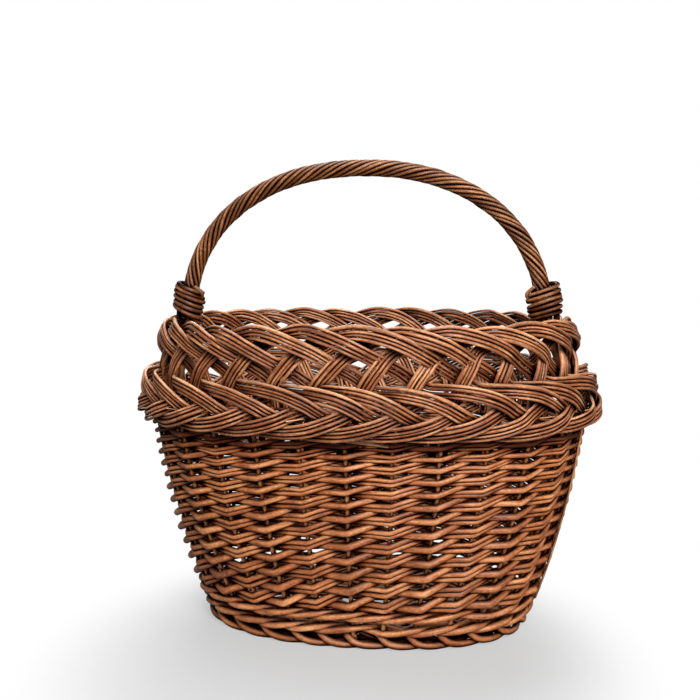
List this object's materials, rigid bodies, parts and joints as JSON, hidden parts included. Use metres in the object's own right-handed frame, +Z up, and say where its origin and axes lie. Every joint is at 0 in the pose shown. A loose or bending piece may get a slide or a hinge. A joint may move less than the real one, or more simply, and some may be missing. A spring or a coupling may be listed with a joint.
{
  "type": "woven market basket",
  "caption": "Oval woven willow shopping basket with flared sides, open lattice collar, braided border and a fixed roped arch handle.",
  "frame": {"origin": "middle of the oval foot, on the floor", "axes": "+Z up, X along the length of the oval and along the span of the handle, -Y towards the front"},
  "size_m": [0.4632, 0.3246, 0.4575],
  "materials": {
    "stake_willow": "satin",
    "weaver_willow": "satin",
    "border_willow": "satin",
    "base_willow": "satin",
    "handle_willow": "satin"
  },
  "bodies": {
    "root": {"base_cross_sticks": "base_willow", "base_long_sticks": "base_willow", "base_weave": "base_willow", "border_strand_01": "border_willow", "border_strand_02": "border_willow", "border_strand_03": "border_willow", "border_strand_04": "border_willow", "border_strand_05": "border_willow", "border_strand_06": "border_willow", "border_strand_07": "border_willow", "border_strand_08": "border_willow", "border_strand_09": "border_willow", "border_strand_10": "border_willow", "border_strand_11": "border_willow", "border_strand_12": "border_willow", "border_strand_13": "border_willow", "border_strand_14": "border_willow", "border_strand_15": "border_willow", "border_strand_16": "border_willow", "border_strand_17": "border_willow", "border_strand_18": "border_willow", "border_strand_19": "border_willow", "border_strand_20": "border_willow", "border_strand_21": "border_willow", "border_strand_22": "border_willow", "border_strand_23": "border_willow", "border_strand_24": "border_willow", "border_strand_25": "border_willow", "border_strand_26": "border_willow", "border_strand_27": "border_willow", "border_strand_28": "border_willow", "foot_border": "stake_willow", "handle_binding_left": "handle_willow", "handle_binding_right": "handle_willow", "handle_bow": "handle_willow", "handle_pegs": "handle_willow", "handle_rope_rods": "handle_willow", "side_stakes": "stake_willow", "upsett_wale_lower": "weaver_willow", "upsett_wale_upper": "weaver_willow", "weaver_set_01": "weaver_willow", "weaver_set_02": "weaver_willow", "weaver_set_03": "weaver_willow", "weaver_set_04": "weaver_willow", "weaver_set_05": "weaver_willow", "weaver_set_06": "weaver_willow", "weaver_set_07": "weaver_willow", "weaver_set_08": "weaver_willow", "weaver_set_09": "weaver_willow", "weaver_set_10": "weaver_willow", "weaver_set_11": "weaver_willow", "weaver_set_12": "weaver_willow", "weaver_set_13": "weaver_willow", "weaver_set_14": "weaver_willow"}
  },
  "joints": []
}
